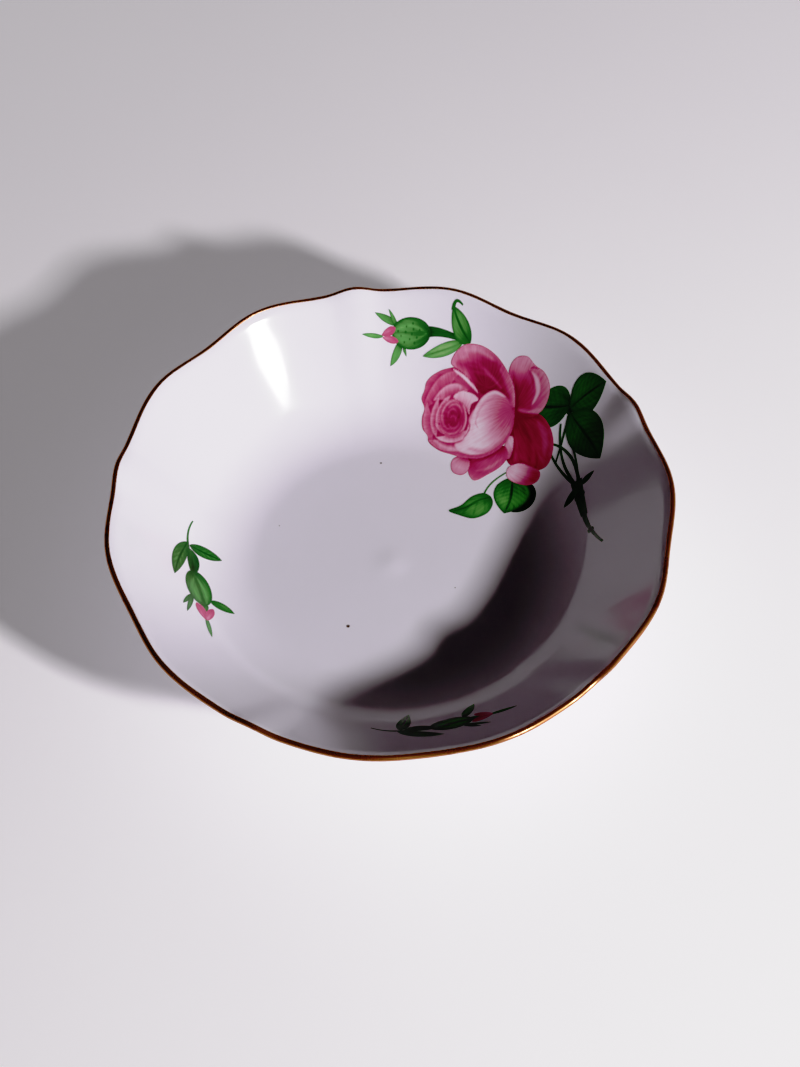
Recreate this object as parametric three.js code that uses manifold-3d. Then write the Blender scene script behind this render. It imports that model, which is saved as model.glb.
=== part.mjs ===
// An open porcelain trinket dish with a foot ring, a lobed lip edged in gilt, and roses in enamel on the inside.
// Units are millimetres. +Z is up, and the origin is on the table, on the axis of the dish.
// Azimuths are in degrees from +X, turning towards +Y.

import * as THREE from 'three';
import { mergeVertices } from 'three/addons/utils/BufferGeometryUtils.js';
import Module from 'manifold-3d';

const wasm = await Module();
wasm.setup();

// ---- Driving dimensions ----

const LIP_RADIUS = 74; // mean, at the middle of the lip
const LIP_HEIGHT = 35.5; // mean, above the table
const LIP_THICKNESS = 1.6;
const FLOOR_TOP = 7.5;
const FLOOR_RADIUS = 36; // flat part of the floor
const COVE_RADIUS = 26; // hollow curve between floor and wall
const COVE_TURN = 45; // degrees, where the cove runs into the wall
const FLARE_RUN = 2; // the last of the wall leans outwards
const LIP_SLOPE = 38; // degrees, of the wall where it meets the lip
const FLOOR_THICKNESS = 4;
const FOOT_OUTER_RADIUS = 40.6;
const FOOT_INNER_RADIUS = 37.4;
const FOOT_EASE = 0.5; // small bevel on both edges of the ground face

// The lip has five lobed sectors. Each one runs from a cusp to the next and mirrors about its middle.
const SECTORS = 5;
const FIRST_CUSP = 26; // azimuth
const SECTOR_ANGLE = 360 / SECTORS;
// Going from a cusp to the middle of a sector, the lip moves outwards and upwards by these amounts.
const LIP_WAVE = [
  { angle: 0, out: -0.2, up: 0.85 }, // cusp
  { angle: 6.5, out: -0.45, up: -0.6 }, // dip beside the cusp
  { angle: 21.5, out: 0.65, up: 0.75 }, // top of a lobe
  { angle: SECTOR_ANGLE / 2, out: -0.65, up: -0.75 }, // valley between two lobes
];
const WAVE_FADE = 2.5; // how fast the waves die out from the lip down the wall

const GILT_GAP = 0.05; // between glaze and gilt
const GILT_THICKNESS = 0.2;
const GILT_REACH = 55; // degrees that the gilt wraps to each side of the lip's crown

const ENAMEL_GAP = 0.1; // between glaze and enamel
const ENAMEL_THICKNESS = 0.4;
const ENAMEL_CLEARANCE = 0.3; // between two neighbouring pieces of enamel

const AZIMUTH_STEPS = 100;
const COVE_STEPS = 5;
const WALL_STEPS = 6;
const LIP_STEPS = 4;

// ---- Profile of the dish ----

const radians = THREE.MathUtils.degToRad;

// A point on the inside surface of the cove, or `depth` behind it.
function covePoint(slope, depth) {
  const radius = COVE_RADIUS + depth;
  return {
    r: FLOOR_RADIUS + radius * Math.sin(slope),
    z: FLOOR_TOP + COVE_RADIUS - radius * Math.cos(slope),
  };
}

const HALF_LIP = LIP_THICKNESS / 2;
const COVE_END = covePoint(radians(COVE_TURN), 0);
const WALL_TOP = {
  r: LIP_RADIUS - HALF_LIP * Math.sin(radians(LIP_SLOPE)),
  z: LIP_HEIGHT + HALF_LIP * Math.cos(radians(LIP_SLOPE)),
};
const WALL_RUN = WALL_TOP.r - COVE_END.r;
const WALL_RISE = WALL_TOP.z - COVE_END.z;
const FIRST_GRADE = Math.tan(radians(COVE_TURN));
const LAST_GRADE = Math.tan(radians(LIP_SLOPE));
// The wall steepens evenly, and then its flare slackens, so that it comes up at the lip with the lip's slope.
const STEEPENING =
  (2 * (WALL_RISE - FIRST_GRADE * WALL_RUN) + FLARE_RUN * (FIRST_GRADE - LAST_GRADE)) /
  (WALL_RUN * (WALL_RUN - FLARE_RUN));
const SLACKENING = (FIRST_GRADE + STEEPENING * WALL_RUN - LAST_GRADE) / FLARE_RUN;

// A point on the inside surface of the wall, or `depth` behind it: share 0 is at the cove and 1 is at the lip.
function wallPoint(share, depth) {
  const run = share * WALL_RUN;
  const flare = Math.max(run - WALL_RUN + FLARE_RUN, 0);
  const slope = Math.atan(FIRST_GRADE + STEEPENING * run - SLACKENING * flare);
  const rise = FIRST_GRADE * run + (STEEPENING * run ** 2) / 2 - (SLACKENING * flare ** 2) / 2;
  return {
    r: COVE_END.r + run + depth * Math.sin(slope),
    z: COVE_END.z + rise - depth * Math.cos(slope),
  };
}

// A point on the rounded lip. The angle is measured from the crown, and is positive towards the inside.
function lipPoint(angle, radius) {
  const turn = radians(LIP_SLOPE + angle);
  return { r: LIP_RADIUS + radius * Math.cos(turn), z: LIP_HEIGHT + radius * Math.sin(turn) };
}

function steps(count, from, to) {
  return Array.from({ length: count + 1 }, (_, index) => from + ((to - from) * index) / count);
}

// From the middle of the floor to just below the lip. A negative depth stands proud of the glaze.
function insideProfile(depth) {
  const floor = [0, FLOOR_RADIUS / 2].map((r) => ({ r, z: FLOOR_TOP - depth }));
  const cove = steps(COVE_STEPS, 0, COVE_TURN).map((turn) => covePoint(radians(turn), depth));
  const wall = steps(WALL_STEPS, 0, 0.98).slice(1).map((share) => wallPoint(share, depth));
  return [...floor, ...cove, ...wall];
}

// The lip's crown, from the inside over to the outside.
function lipProfile(radius) {
  return steps(LIP_STEPS, GILT_REACH, -GILT_REACH).map((angle) => lipPoint(angle, radius));
}

// From just below the lip to the middle of the underside.
function outsideProfile() {
  const thickness = (share) => FLOOR_THICKNESS + share * (LIP_THICKNESS - FLOOR_THICKNESS);
  const wall = steps(WALL_STEPS, 0.98, 0).map((share) => wallPoint(share, thickness(share)));
  const cove = steps(COVE_STEPS - 1, COVE_TURN, 15).slice(1);
  const recess = FLOOR_TOP - FLOOR_THICKNESS;
  return [
    ...wall,
    ...cove.map((turn) => covePoint(radians(turn), FLOOR_THICKNESS)),
    { r: FOOT_OUTER_RADIUS + FOOT_EASE, z: recess + FOOT_EASE },
    { r: FOOT_OUTER_RADIUS, z: FOOT_EASE },
    { r: FOOT_OUTER_RADIUS - FOOT_EASE, z: 0 },
    { r: FOOT_INNER_RADIUS + FOOT_EASE, z: 0 },
    { r: FOOT_INNER_RADIUS, z: FOOT_EASE },
    { r: FOOT_INNER_RADIUS - FOOT_EASE, z: recess - FOOT_EASE },
    { r: FOOT_INNER_RADIUS - 2 * FOOT_EASE, z: recess },
    { r: 0, z: recess },
  ];
}

// ---- The lip's waves ----

// How far the lip has moved outwards and upwards at an azimuth.
function lipWave(azimuth) {
  const turned = THREE.MathUtils.euclideanModulo(azimuth - FIRST_CUSP, SECTOR_ANGLE);
  const angle = Math.min(turned, SECTOR_ANGLE - turned);
  const next = LIP_WAVE.findIndex((key, index) => index > 0 && angle <= key.angle + 1e-9);
  const [from, to] = [LIP_WAVE[next - 1], LIP_WAVE[next]];
  const share = (1 - Math.cos((Math.PI * (angle - from.angle)) / (to.angle - from.angle))) / 2;
  return {
    out: from.out + share * (to.out - from.out),
    up: from.up + share * (to.up - from.up),
  };
}

// A profile point turned to an azimuth, and moved by its share of the lip's wave there.
function placed(point, azimuth) {
  const height = THREE.MathUtils.clamp((point.r - FLOOR_RADIUS) / (LIP_RADIUS - FLOOR_RADIUS), 0, 1);
  const share = height ** WAVE_FADE * (point.z > FLOOR_TOP ? 1 : 0);
  const wave = lipWave(azimuth);
  const r = point.r + share * wave.out;
  const angle = radians(azimuth);
  return [r * Math.cos(angle), r * Math.sin(angle), point.z + share * wave.up];
}

// ---- Surfaces and solids ----

// Turns a profile about the axis into a closed surface. A profile point on the axis becomes a pole.
// Otherwise the profile is a ring of its own, and closes on itself.
function revolve(profile) {
  const positions = [];
  const rows = profile.map((point) => {
    const count = point.r === 0 ? 1 : AZIMUTH_STEPS;
    const first = positions.length / 3;
    for (let step = 0; step < count; step += 1) {
      positions.push(...placed(point, FIRST_CUSP + (360 * step) / AZIMUTH_STEPS));
    }
    return { first, count };
  });
  const index = [];
  const vertex = (row, step) => row.first + (step % row.count);
  const joins = profile[0].r === 0 ? rows.length - 1 : rows.length;
  for (let join = 0; join < joins; join += 1) {
    const lower = rows[join];
    const upper = rows[(join + 1) % rows.length];
    for (let step = 0; step < AZIMUTH_STEPS; step += 1) {
      if (lower.count > 1) {
        index.push(vertex(lower, step), vertex(upper, step), vertex(lower, step + 1));
      }
      if (upper.count > 1) {
        index.push(vertex(lower, step + 1), vertex(upper, step), vertex(upper, step + 1));
      }
    }
  }
  const geometry = new THREE.BufferGeometry();
  geometry.setAttribute('position', new THREE.Float32BufferAttribute(positions, 3));
  geometry.setIndex(index);
  return geometry;
}

function toSolid(geometry) {
  const bare = geometry.clone();
  bare.deleteAttribute('normal');
  bare.deleteAttribute('uv');
  const merged = mergeVertices(bare, 1e-4);
  const mesh = new wasm.Mesh({
    numProp: 3,
    vertProperties: Float32Array.from(merged.attributes.position.array),
    triVerts: Uint32Array.from(merged.index.array),
  });
  return new wasm.Manifold(mesh);
}

function toGeometry(solid) {
  const mesh = solid.getMesh();
  const geometry = new THREE.BufferGeometry();
  geometry.setAttribute('position', new THREE.BufferAttribute(mesh.vertProperties, 3));
  geometry.setIndex(new THREE.BufferAttribute(mesh.triVerts, 1));
  return geometry;
}

// ---- Outlines for the enamel, drawn in plan ----

// A leaf from base to tip, as wide as `left` and `right` on the two sides of the line between them.
function leaf(base, tip, left, right) {
  const start = new THREE.Vector2(...base);
  const along = new THREE.Vector2(...tip).sub(start);
  const across = new THREE.Vector2(-along.y, along.x).normalize();
  const control = (share, width) => start.clone().addScaledVector(along, share).addScaledVector(across, width / 0.75);
  const shape = new THREE.Shape();
  shape.moveTo(...base);
  shape.bezierCurveTo(...control(0.15, left), ...control(0.65, left), ...tip);
  shape.bezierCurveTo(...control(0.65, -right), ...control(0.15, -right), ...base);
  return shape;
}

// A stem that bends towards a point on its way, and changes width from one end to the other.
function stem(from, bend, to, startWidth, endWidth) {
  const curve = new THREE.QuadraticBezierCurve(
    new THREE.Vector2(...from),
    new THREE.Vector2(...bend),
    new THREE.Vector2(...to),
  );
  const side = (sign) => steps(5, 0, 1).map((share) => {
    const tangent = curve.getTangent(share);
    const half = (sign * (startWidth + share * (endWidth - startWidth))) / 2;
    return curve.getPoint(share).add(new THREE.Vector2(-tangent.y * half, tangent.x * half));
  });
  return new THREE.Shape([...side(1), ...side(-1).reverse()]);
}

// A petal or bud: an ellipse with its long axis turned by an angle.
function oval(centre, halfLength, halfWidth, turn) {
  return new THREE.Shape().absellipse(...centre, halfLength, halfWidth, 0, 2 * Math.PI, false, radians(turn));
}

// Moves an outline drawn about the origin to its place on the wall.
function moved(shape, [x, y], turn) {
  const points = shape.getPoints(6).map((point) => point.rotateAround(new THREE.Vector2(), radians(turn)));
  return new THREE.Shape(points.map((point) => point.add(new THREE.Vector2(x, y))));
}

// ---- Enamel ----

// All of the inside, as a layer of enamel's thickness.
const ENAMEL_LAYER = toSolid(revolve([
  ...insideProfile(-ENAMEL_GAP - ENAMEL_THICKNESS),
  ...insideProfile(-ENAMEL_GAP).reverse(),
]));

function join(solids) {
  return solids.reduce((joined, next) => joined.add(next));
}

// Upright columns over the table that have these outlines.
function columns(shapes) {
  const options = { depth: LIP_HEIGHT + 10, bevelEnabled: false, curveSegments: 8 };
  return join(shapes.map((shape) => toSolid(new THREE.ExtrudeGeometry(shape, options))));
}

// The columns widened all round, to cut a neighbour back from them.
function widened(solid) {
  const shifts = steps(7, 0, 315).map((turn) => {
    const angle = radians(turn);
    return solid.translate([ENAMEL_CLEARANCE * Math.cos(angle), ENAMEL_CLEARANCE * Math.sin(angle), 0]);
  });
  return join(shifts);
}

// One piece of enamel: the outlines laid on the glaze, less what lies under another piece.
function enamel(shapes, cover) {
  const whole = columns(shapes);
  const open = cover ? whole.subtract(widened(columns(cover))) : whole;
  return toGeometry(open.intersect(ENAMEL_LAYER));
}

// The open rose: a ball of petals on the left, with loose petals behind and below it.
const BLOOM = [
  oval([21, 46.2], 12.3, 11.2, 0),
  oval([26.5, 52.6], 12, 7, -45),
  oval([39, 48.2], 7.4, 5.8, 115),
  oval([40, 36.6], 9.4, 5.2, 110),
  oval([37.2, 29.8], 5.2, 4.6, -30),
  oval([26.6, 32.4], 6.2, 4.4, 10),
  oval([20.4, 32.8], 3.6, 3, 90),
  oval([32.5, 37], 4.5, 6, 0),
];

// Three leaves, the stems that gather under them, and the cut end of the branch.
const BRANCH = [
  leaf([50.2, 40.2], [40, 44], 4.4, 4.2),
  leaf([50, 40], [59.2, 41.2], 4.6, 4.2),
  leaf([50, 38.6], [57.6, 23.8], 4.4, 3.4),
  stem([50, 41], [49.6, 38], [46, 28], 1, 0.8),
  stem([47.8, 38], [46.5, 28], [51.2, 19.5], 0.8, 1),
  stem([44, 33], [51, 32], [52.2, 19.5], 0.8, 1.2),
  stem([45, 30], [47, 25], [51, 19.5], 0.8, 1.2),
  stem([51.8, 21], [51.5, 14], [57.4, 0.2], 3.4, 0.5),
  leaf([51.8, 19.6], [48, 15.2], 1, 0.7),
  leaf([52.4, 19.4], [56, 21.2], 0.7, 0.6),
];

const ROUND_LEAF = [oval([35, 21.6], 5.7, 5.3, 20), leaf([34, 27.4], [31.6, 16], 3.6, 3.4)];
const LONG_LEAF = [leaf([26.6, 22.8], [16.2, 17.2], 5.2, 0.2), stem([26, 22], [28, 28], [34, 29.6], 0.8, 0.6)];

// The bud near the lip, with its sepals, its stalk and two leaves.
const TOP_BUD = {
  green: [
    oval([6, 65], 5.4, 3, -4),
    stem([10, 65], [15, 65.4], [21.8, 61.7], 2.6, 0.9),
    leaf([22, 61.6], [18.6, 69.4], 1.6, 3.2),
    stem([18.3, 68.8], [19.6, 69.6], [19.9, 68.4], 0.9, 0.4),
    leaf([20.4, 62.6], [9.2, 60.4], 1.3, 1.1),
    leaf([2.6, 66.8], [-4.3, 69], 0.8, 0.6),
    leaf([2.2, 66.4], [-0.4, 69.6], 0.4, 0.4),
    leaf([3, 63.8], [0, 59], 1.2, 0.8),
  ],
  petals: [leaf([1.4, 66.2], [-2.4, 64.6], 0.8, 0.7), leaf([2.4, 63.4], [-2.4, 64.6], 0.6, 0.6)],
  tip: [leaf([-2, 64.6], [-8, 64.6], 0.5, 0.4)],
};

// A small hanging sprig, drawn along -Y from the top of its stem.
const SPRIG = {
  green: [
    stem([0, 0], [-1.9, -4], [-0.6, -9], 0.5, 0.7),
    leaf([-1, -6.8], [-3.6, -18.8], 0.9, 2.2),
    leaf([-0.6, -7.4], [7.8, -8.8], 1.7, 1.5),
    leaf([-0.4, -8.4], [0.6, -17], 2.2, 0.8),
    oval([2.4, -20.3], 5.4, 3.1, -72),
    leaf([4, -24.6], [4.6, -27.6], 0.9, 0.9),
    leaf([5.4, -23.4], [12, -25.6], 1.3, 0.9),
    leaf([1, -23.4], [-0.9, -27.8], 0.5, 0.5),
    leaf([1.2, -23.4], [0.3, -30.4], 0.5, 0.5),
  ],
  petals: [
    leaf([2.2, -25.6], [5.2, -30.6], 1.2, 0.8),
    leaf([6.2, -25.8], [5.2, -30.6], 0.8, 1),
  ],
  tip: [leaf([4.9, -29.6], [6.9, -36.6], 0.5, 0.5)],
};

const SPRIG_PLACES = {
  left: { at: [-54.2, 8.5], turn: 0 },
  front: { at: [-5, -56], turn: 84 },
};

// ---- Materials ----

const GLAZED_PORCELAIN = new THREE.MeshStandardMaterial({ color: 0xe4e1e8, roughness: 0.12, metalness: 0 });
const GILT = new THREE.MeshStandardMaterial({ color: 0x9a6a34, roughness: 0.3, metalness: 1 });
const ROSE_ENAMEL = new THREE.MeshStandardMaterial({ color: 0xb8386a, roughness: 0.2, metalness: 0 });
const GREEN_ENAMEL = new THREE.MeshStandardMaterial({ color: 0x24702f, roughness: 0.2, metalness: 0 });

// ---- Assembly ----

const dish = new THREE.Group();

function addPiece(name, geometry, material) {
  const piece = new THREE.Mesh(geometry, material.clone());
  piece.name = name;
  dish.add(piece);
}

// A bud's green, petals and outermost sepal are three pieces. The petals, and any bloom, lie over the green.
function addBud(name, bud, bloom = []) {
  addPiece(`${name}_green`, enamel(bud.green, [...bud.petals, ...bloom]), GREEN_ENAMEL);
  addPiece(`${name}_petals`, enamel(bud.petals), ROSE_ENAMEL);
  addPiece(`${name}_tip`, enamel(bud.tip, bud.petals), GREEN_ENAMEL);
}

function placedSprig({ at, turn }) {
  const place = (shapes) => shapes.map((shape) => moved(shape, at, turn));
  return { green: place(SPRIG.green), petals: place(SPRIG.petals), tip: place(SPRIG.tip) };
}

// The body is one fired piece, from the middle of the floor over the lip to the middle of the underside.
const bodyProfile = [...insideProfile(0), ...lipProfile(HALF_LIP), ...outsideProfile()];
const giltInside = HALF_LIP + GILT_GAP;
const giltProfile = [...lipProfile(giltInside + GILT_THICKNESS), ...lipProfile(giltInside).reverse()];

addPiece('dish_body', revolve(bodyProfile), GLAZED_PORCELAIN);
addPiece('gilt_rim', revolve(giltProfile), GILT);
addPiece('rose_bloom', enamel(BLOOM), ROSE_ENAMEL);
addPiece('rose_branch', enamel(BRANCH, BLOOM), GREEN_ENAMEL);
addPiece('rose_round_leaf', enamel(ROUND_LEAF, BLOOM), GREEN_ENAMEL);
addPiece('rose_long_leaf', enamel(LONG_LEAF, BLOOM), GREEN_ENAMEL);
addBud('top_bud', TOP_BUD, BLOOM);
addBud('left_sprig', placedSprig(SPRIG_PLACES.left));
addBud('front_sprig', placedSprig(SPRIG_PLACES.front));

export default dish;
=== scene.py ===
"""An open porcelain trinket dish: one fired body, a gilt line on its lip, and roses in enamel on its wall.

Sizes are in millimetres, places on the wall are seen from above, and azimuths are in degrees from +X
towards +Y. Meshes are scaled to metres as they are made.
"""

import math

import bpy
import numpy as np
from mathutils import Matrix, Vector
from mathutils.geometry import delaunay_2d_cdt


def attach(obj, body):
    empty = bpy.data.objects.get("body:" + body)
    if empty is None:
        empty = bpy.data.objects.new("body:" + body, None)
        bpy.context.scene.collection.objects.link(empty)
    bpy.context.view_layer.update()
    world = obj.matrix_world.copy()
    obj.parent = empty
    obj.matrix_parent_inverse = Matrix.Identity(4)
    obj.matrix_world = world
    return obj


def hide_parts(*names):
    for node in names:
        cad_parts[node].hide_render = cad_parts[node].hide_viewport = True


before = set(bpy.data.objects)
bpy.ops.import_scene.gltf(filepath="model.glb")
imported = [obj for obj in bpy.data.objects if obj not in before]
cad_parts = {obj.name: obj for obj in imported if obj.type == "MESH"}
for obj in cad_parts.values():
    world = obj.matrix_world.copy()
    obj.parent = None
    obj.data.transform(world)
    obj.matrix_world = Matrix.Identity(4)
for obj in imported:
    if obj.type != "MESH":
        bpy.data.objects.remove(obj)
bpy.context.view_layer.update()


# ----------------------------------------------------------------------
# The body. One piece of white porcelain, pressed to a lobed shape and turned with a foot ring, then dipped
# in clear glaze and fired. The ring's ground face is wiped clean of glaze, so that it doesn't stick in
# the kiln, and a few specks of iron have come up through the glaze.
# ----------------------------------------------------------------------

MM = 0.001
LIP_RADIUS, LIP_HEIGHT, LIP_THICKNESS = 74.0, 35.5, 1.6
FLOOR_TOP, FLOOR_RADIUS, FLOOR_THICKNESS = 7.5, 36.0, 4.0
COVE_RADIUS, COVE_TURN = 26.0, math.radians(45)  # the hollow curve between floor and wall
FLARE_RUN, LIP_SLOPE = 2.0, math.radians(38)  # the last of the wall leans outwards
NAVEL_HEIGHT, NAVEL_RADIUS = 0.25, 3.5  # the floor is a little raised where it was turned
FOOT_OUTER_RADIUS, FOOT_INNER_RADIUS, FOOT_EASE = 40.6, 37.4, 0.5
SECTORS, FIRST_CUSP = 5, 26
# From a cusp to the middle of a sector: azimuth, and how far the lip moves outwards and upwards.
LIP_WAVE = np.array([[0, -0.2, 0.85], [6.5, -0.45, -0.6], [21.5, 0.65, 0.75], [36, -0.65, -0.75]])
WAVE_FADE = 2.5  # how fast the waves die out from the lip down the wall
AZIMUTHS = 480


def lip_wave(azimuth):
    """How far the lip moves outwards and upwards. Every sector mirrors about its middle."""
    sector = 360 / SECTORS
    turned = (azimuth - FIRST_CUSP) % sector
    angle = np.minimum(turned, sector - turned)
    key = np.clip(np.searchsorted(LIP_WAVE[:, 0], angle, side="right") - 1, 0, len(LIP_WAVE) - 2)
    start, end = LIP_WAVE[key], LIP_WAVE[key + 1]
    share = (1 - np.cos(np.pi * (angle - start[..., 0]) / (end - start)[..., 0])) / 2
    move = start + share[..., None] * (end - start)
    return move[..., 1], move[..., 2]


def wave_share(r):
    """The waves die out from the lip down to the floor."""
    return np.clip((r - FLOOR_RADIUS) / (LIP_RADIUS - FLOOR_RADIUS), 0, 1) ** WAVE_FADE


COVE_END = FLOOR_RADIUS + COVE_RADIUS * math.sin(COVE_TURN)
COVE_END_HEIGHT = FLOOR_TOP + COVE_RADIUS * (1 - math.cos(COVE_TURN))
WALL_TOP = LIP_RADIUS - LIP_THICKNESS / 2 * math.sin(LIP_SLOPE)
WALL_TOP_HEIGHT = LIP_HEIGHT + LIP_THICKNESS / 2 * math.cos(LIP_SLOPE)
WALL_RUN, WALL_RISE = WALL_TOP - COVE_END, WALL_TOP_HEIGHT - COVE_END_HEIGHT
FIRST_GRADE, LAST_GRADE = math.tan(COVE_TURN), math.tan(LIP_SLOPE)
# The wall steepens evenly, then its flare slackens, so that it comes up at the lip with the lip's slope.
STEEPENING = (
    2 * (WALL_RISE - FIRST_GRADE * WALL_RUN) + FLARE_RUN * (FIRST_GRADE - LAST_GRADE)
) / (WALL_RUN * (WALL_RUN - FLARE_RUN))
SLACKENING = (FIRST_GRADE + STEEPENING * WALL_RUN - LAST_GRADE) / FLARE_RUN


def inside_height(r):
    """The inside of the dish: a flat floor, a round cove, a wall that steepens a little, and its flare."""
    cove = np.clip(r, FLOOR_RADIUS, COVE_END) - FLOOR_RADIUS
    wall = np.maximum(r - COVE_END, 0)
    flare = np.maximum(r - WALL_TOP + FLARE_RUN, 0)
    return (
        FLOOR_TOP + NAVEL_HEIGHT * np.exp(-(r / NAVEL_RADIUS) ** 2)
        + COVE_RADIUS - np.sqrt(COVE_RADIUS**2 - cove**2)
        + FIRST_GRADE * wall + STEEPENING * wall**2 / 2 - SLACKENING * flare**2 / 2
    )


def inside_turn(r):
    """The angle of the inside surface above the horizontal."""
    step = 0.01
    rise = inside_height(r + step) - inside_height(r - step)
    return np.arctan2(rise, 2 * step)


def eased(corners, cut, count=5):
    """The corners of a profile, each one softened to a small curve."""
    line = [corners[0]]
    for before, corner, after in zip(corners, corners[1:], corners[2:]):
        before, corner, after = Vector(before), Vector(corner), Vector(after)
        start = corner + (before - corner).normalized() * min(cut, (before - corner).length * 0.45)
        end = corner + (after - corner).normalized() * min(cut, (after - corner).length * 0.45)
        for share in np.linspace(0, 1, count):
            line.append(tuple(start.lerp(corner, share).lerp(corner.lerp(end, share), share)))
    return np.array(line + [corners[-1]])


def body_rows():
    """The body's outline from the middle of the floor over the lip to the middle of the underside.

    Each row holds radius, height and its share of the lip's wave.
    """
    floor = np.concatenate([np.linspace(0, 12, 14), np.linspace(15, FLOOR_RADIUS, 7)[:-1]])
    cove = FLOOR_RADIUS + COVE_RADIUS * np.sin(np.linspace(0, COVE_TURN, 26))
    wall = np.linspace(COVE_END, WALL_TOP - FLARE_RUN, 26)[1:]
    flare = np.linspace(WALL_TOP - FLARE_RUN, WALL_TOP, 8)[1:]
    inside = np.concatenate([floor, cove, wall, flare])
    inside = np.column_stack([inside, inside_height(inside), wave_share(inside)])

    crown = LIP_SLOPE + np.radians(np.linspace(90, -90, 13)[1:-1])
    lip = np.column_stack([
        LIP_RADIUS + LIP_THICKNESS / 2 * np.cos(crown),
        LIP_HEIGHT + LIP_THICKNESS / 2 * np.sin(crown),
        np.ones(len(crown)),
    ])

    back = inside[(inside[:, 0] > FLOOR_RADIUS + COVE_RADIUS * math.sin(math.radians(13)))][::-1]
    up_the_wall = np.clip((back[:, 0] - COVE_END) / (WALL_TOP - COVE_END), 0, 1)
    thickness = FLOOR_THICKNESS + up_the_wall * (LIP_THICKNESS - FLOOR_THICKNESS)
    turn = inside_turn(np.minimum(back[:, 0], WALL_TOP - 0.01))
    outside = np.column_stack([
        back[:, 0] + thickness * np.sin(turn),
        back[:, 1] - thickness * np.cos(turn),
        back[:, 2],
    ])

    recess = FLOOR_TOP - FLOOR_THICKNESS
    foot = eased(
        [
            tuple(outside[-1, :2]),
            (FOOT_OUTER_RADIUS + FOOT_EASE, recess + FOOT_EASE),
            (FOOT_OUTER_RADIUS, 0),
            (FOOT_INNER_RADIUS, 0),
            (FOOT_INNER_RADIUS - FOOT_EASE, recess),
            (30, recess),
            (0, recess),
        ],
        cut=1.0,
    )[1:]
    foot = np.column_stack([foot, np.zeros(len(foot))])
    return np.concatenate([inside, lip, outside, foot])


def turned(rows):
    """The rows turned about the axis, with the lip's waves, as rows x azimuths x 3."""
    azimuth = FIRST_CUSP + np.arange(AZIMUTHS) * 360 / AZIMUTHS
    out, up = lip_wave(azimuth)
    r = rows[:, 0, None] + rows[:, 2, None] * out
    z = rows[:, 1, None] + rows[:, 2, None] * up
    angle = np.radians(azimuth)
    return np.stack([r * np.cos(angle), r * np.sin(angle), z], axis=-1)


def new_piece(name, points, faces):
    """A mesh object of points in millimetres, shaded smooth."""
    mesh = bpy.data.meshes.new(name)
    mesh.from_pydata((np.asarray(points) * MM).tolist(), [], faces)
    mesh.shade_smooth()
    mesh.validate()
    piece = bpy.data.objects.new(name, mesh)
    bpy.context.scene.collection.objects.link(piece)
    return piece


def band_faces(rows, first=0):
    """Quads between each row of azimuths and the next."""
    step = np.arange(AZIMUTHS)
    after = (step + 1) % AZIMUTHS
    faces = []
    for row in range(rows - 1):
        low, high = first + row * AZIMUTHS, first + (row + 1) * AZIMUTHS
        faces += np.column_stack([low + step, high + step, high + after, low + after]).tolist()
    return faces


rows = body_rows()
rings = turned(rows[1:-1])
points = np.concatenate([[[0, 0, rows[0, 1]]], rings.reshape(-1, 3), [[0, 0, rows[-1, 1]]]])
faces = band_faces(len(rings), first=1)
last = len(points) - 1
for step in range(AZIMUTHS):
    after = (step + 1) % AZIMUTHS
    faces.append([0, 1 + step, 1 + after])
    faces.append([last, last - AZIMUTHS + after, last - AZIMUTHS + step])
body = new_piece("porcelain_body", points, faces)


class Wire:
    """One socket of a material's node tree, so that shader maths reads as arithmetic."""

    def __init__(self, tree, socket):
        self.tree = tree
        self.socket = socket

    def node(self, kind, settings, inputs, output=0):
        """Adds a node, makes its settings, feeds its sockets, and gives one of its outputs."""
        made = self.tree.nodes.new(kind)
        for name, value in settings.items():
            if name == "stops":
                set_stops(made.color_ramp, value)
            else:
                setattr(made, name, value)
        for name, value in inputs.items():
            self.feed(made.inputs[name], value)
        return Wire(self.tree, made.outputs[output])

    def feed(self, socket, value):
        if isinstance(value, Wire):
            self.tree.links.new(value.socket, socket)
        elif value is not None:
            socket.default_value = value

    def maths(self, operation, first, second=None):
        pair = [value for value in (first, second) if isinstance(value, Wire)]
        vector = any(value.socket.type in ("VECTOR", "RGBA") for value in pair)
        kind = "ShaderNodeVectorMath" if vector else "ShaderNodeMath"
        if vector:
            first = (first,) * 3 if isinstance(first, (int, float)) else first
            second = (second,) * 3 if isinstance(second, (int, float)) else second
        return self.node(kind, {"operation": operation}, {0: first, 1: second})

    def __add__(self, other):
        return self.maths("ADD", self, other)

    def __radd__(self, other):
        return self.maths("ADD", other, self)

    def __sub__(self, other):
        return self.maths("SUBTRACT", self, other)

    def __rsub__(self, other):
        return self.maths("SUBTRACT", other, self)

    def __mul__(self, other):
        return self.maths("MULTIPLY", self, other)

    def __rmul__(self, other):
        return self.maths("MULTIPLY", other, self)

    def noise(self, scale, detail=2.0, roughness=0.5):
        """Cloudy noise about 0.5 at these coordinates."""
        inputs = {"Vector": self, "Scale": scale, "Detail": detail, "Roughness": roughness}
        return self.node("ShaderNodeTexNoise", {}, inputs)

    def between(self, low, high):
        """0 below `low`, 1 above `high`, and smooth in between."""
        settings = {"interpolation_type": "SMOOTHSTEP"}
        return self.node("ShaderNodeMapRange", settings, {"Value": self, "From Min": low, "From Max": high})

    def mix(self, here, there):
        """The colour `here` where this is 0 and `there` where it is 1."""
        return self.node("ShaderNodeMix", {"data_type": "RGBA"}, {0: self, 6: here, 7: there}, output=2)


def set_stops(ramp, stops):
    ramp.elements.remove(ramp.elements[1])
    ramp.elements[0].position = stops[0][0]
    ramp.elements[0].color = stops[0][1]
    for place, colour in stops[1:]:
        ramp.elements.new(place).color = colour


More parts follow.
